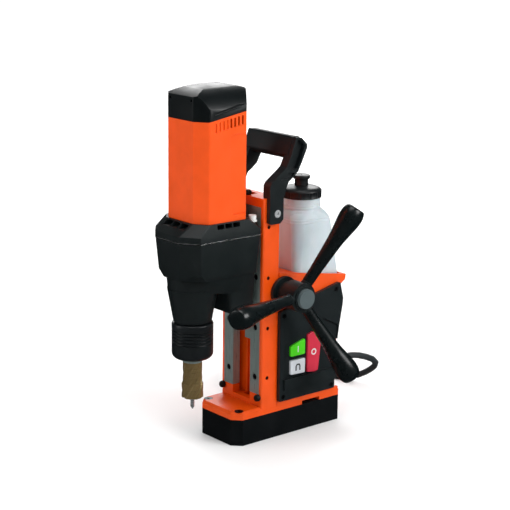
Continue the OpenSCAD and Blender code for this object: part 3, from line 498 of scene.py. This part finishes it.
def bottle_ring(z, wall=0.0):
    for low, high in zip(BOTTLE, BOTTLE[1:]):
        if low[0] <= z <= high[0]:
            break
    share = (z - low[0]) / (high[0] - low[0])
    half_l, half_w, corner = (a + (b - a) * share - wall for a, b in zip(low[1:], high[1:]))
    swell = sum(RIDGE_H * math.exp(-((z - at) / RIDGE_W) ** 2) for at in BOTTLE_RIDGES) if not wall else 0
    corner = min(corner, half_l - 0.01, half_w - 0.01)
    points = []
    for quarter, (sx, sy) in enumerate(((1, 1), (-1, 1), (-1, -1), (1, -1))):
        for i in range(CORNER_STEPS + 1):
            a = math.radians(90 * (quarter + i / CORNER_STEPS))
            out = corner + swell
            points.append((BOTTLE_X + sx * (half_l - corner) + out * math.cos(a),
                           sy * (half_w - corner) + out * math.sin(a), z))
    return points


def bottle_circle(r, z):
    points = []
    for quarter in range(4):
        for i in range(CORNER_STEPS + 1):
            a = math.radians(90 * (quarter + i / CORNER_STEPS))
            a += CORNER_GAP * (i / CORNER_STEPS - 0.5)
            points.append((BOTTLE_X + r * math.cos(a), r * math.sin(a), z))
    return points


def add_bottle():
    heights = [189.3, 189.9, 191, 193.4, 210, 228, 246, SHOULDER,
               *[SHOULDER + RING_STEP * i for i in range(1, 78)], 298.1]
    rings = [bottle_ring(z) for z in heights]
    rings += [bottle_circle(21, 298.2), bottle_circle(21, 307), bottle_circle(19.2, 307),
              bottle_circle(19.2, 282)]
    rings += [bottle_ring(z, 1.6) for z in (280, 277, 272, 263, 228, 195, 192.4, 191)]
    skin("bottle", "bottle", "clear_bottle", ["coolant_bottle"], rings, sharp=50)
    cap_ribs = 36
    centre = (BOTTLE_X, 0)

    def rib(a, z):
        return 0.5 - 0.5 * math.cos(cap_ribs * a) if 299.5 < z < 307 else 0
    outside = [(25.2, 298.5), (26.1, 298.8), (26.2, 299.4), (26.2, 300), (26.2, 306.6), (26.2, 307.2),
               (25.6, 308.4), (24.4, 309.6), (22.4, 310.9), (19.5, 311.8), (16, 312.5), (12.6, 312.9),
               (12, 313), (6.6, 313), (6.5, 319)]
    inside = [(2.5, 319), (2.5, 307.5), (21.3, 307.5), (21.3, 298.5)]
    skin("cap", "cap", "bottle_black", ["bottle_cap"],
         [ring(r, z, centre, rib) for r, z in outside + inside], loop=True)
    stem = [(8.4, 313.2), (8.8, 313.6), (8.7, 318), (8.8, 321), (9.6, 321.8), (10.7, 322.3), (11, 323),
            (11, 325.6), (10.6, 326.6), (9.8, 327), (1.2, 327), (1.2, 319.3), (6.55, 319.3), (6.55, 313.2)]
    skin("valve", "valve", "bottle_black", ["pull_valve"], [ring(r, z, centre) for r, z in stem], loop=True)


# ---- symbols on the buttons ----

KEY_FACE = -45.2                            # Y of the buttons' faces, in mm
SYMBOL_H = 0.12


def symbol(name, body, slot, outline, hole=()):
    """A thin flat mark standing on a button's face; its points are X and Z in mm."""
    mesh = bpy.data.meshes.new(name)
    shape = bmesh.new()
    y0, y1 = (KEY_FACE + 0.05) * MM, (KEY_FACE - SYMBOL_H) * MM
    loops = [outline, hole] if hole else [outline]
    fronts, backs = [], []
    for points in loops:
        fronts.append([shape.verts.new((x * MM, y1, z * MM)) for x, z in points])
        backs.append([shape.verts.new((x * MM, y0, z * MM)) for x, z in points])
    for front, back in zip(fronts, backs):
        for k in range(len(front)):
            n = (k + 1) % len(front)
            shape.faces.new((front[k], front[n], back[n], back[k]))
    for level in (fronts, backs):
        if hole:
            outer, inner = level
            for k in range(len(outer)):
                n = (k + 1) % len(outer)
                shape.faces.new((outer[k], outer[n], inner[n], inner[k]))
        else:
            shape.faces.new(level[0])
    bmesh.ops.recalc_face_normals(shape, faces=shape.faces)
    shape.to_mesh(mesh)
    shape.free()
    mesh.materials.append(bpy.data.materials[slot])
    piece = bpy.data.objects.new(name, mesh)
    scene.collection.objects.link(piece)
    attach(piece, body)


def circle(x, z, r, count=40):
    return [(x + r * math.cos(2 * math.pi * k / count), z + r * math.sin(2 * math.pi * k / count))
            for k in range(count)]


def add_symbols():
    bar = [(8.3, 108.5), (9.7, 108.5), (9.7, 116.5), (8.3, 116.5)]
    symbol("start_mark", "start_key", "light_plastic", bar)
    symbol("stop_mark", "stop_key", "light_plastic", circle(36, 104, 4.2), circle(36, 104, 2.7))
    magnet = [(5, 84), (7, 84), (7, 89.5), (7.9, 91), (10.6, 91), (11.5, 89.5), (11.5, 84), (13.5, 84),
              (13.5, 90), (11.6, 93), (6.9, 93), (5, 90)]
    symbol("magnet_mark", "magnet_key", "dark_plastic", magnet)


# ---- CAD nodes that keep their shape ----

def refine(piece, bevel_mm, segments=3, angle=28):
    """Joins the split corners of a CAD mesh, merges its flat triangles and rounds its edges."""
    if piece.data.has_custom_normals:
        for name in ("custom_normal", "sharp_edge", "sharp_face"):
            found = piece.data.attributes.get(name)
            if found:
                piece.data.attributes.remove(found)
    weld = piece.modifiers.new("weld", "WELD")
    weld.merge_threshold = 0.002 * MM
    flat = piece.modifiers.new("flat", "DECIMATE")
    flat.decimate_type = "DISSOLVE"
    flat.angle_limit = math.radians(0.4)
    edge = piece.modifiers.new("edge", "BEVEL")
    edge.width = bevel_mm * MM
    edge.segments = segments
    edge.limit_method = "ANGLE"
    edge.angle_limit = math.radians(angle)
    edge.harden_normals = True
    piece.data.shade_smooth()


BEVELS = {
    "magnet_body": 0.8, "base_casting": 0.7, "guide_rails": 0.3, "rear_housing": 1.0, "control_panel": 0.8,
    "carry_handle": 1.2, "gear_housing": 1.2, "motor_flange": 0.8, "motor_housing": 0.8, "motor_cap": 1.0,
    "gear_plate": 0.15, "feed_hub": 0.8, "hub_cap": 0.5, "side_flange": 0.8,
    "start_button": 0.6, "stop_button": 0.6, "magnet_button": 0.6, "mains_plug": 1.2, "cable_gland": 0.4,
}


REPLACED = {"lever_grip_1", "lever_grip_2", "lever_grip_3", "locking_sleeve", "annular_cutter",
            "coolant_bottle", "bottle_cap", "pull_valve", "cord_run", "cord_coil", "cord_tail"}


def refine_nodes():
    for name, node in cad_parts.items():
        if name in REPLACED:
            continue
        refine(node, BEVELS.get(name, 0.15), 3 if name in BEVELS else 1)


add_camera()
add_cord()
add_floor()
add_wall()
add_lights()
make_materials()
add_grips()
add_sleeve()
add_cutter()
add_bottle()
add_symbols()
refine_nodes()
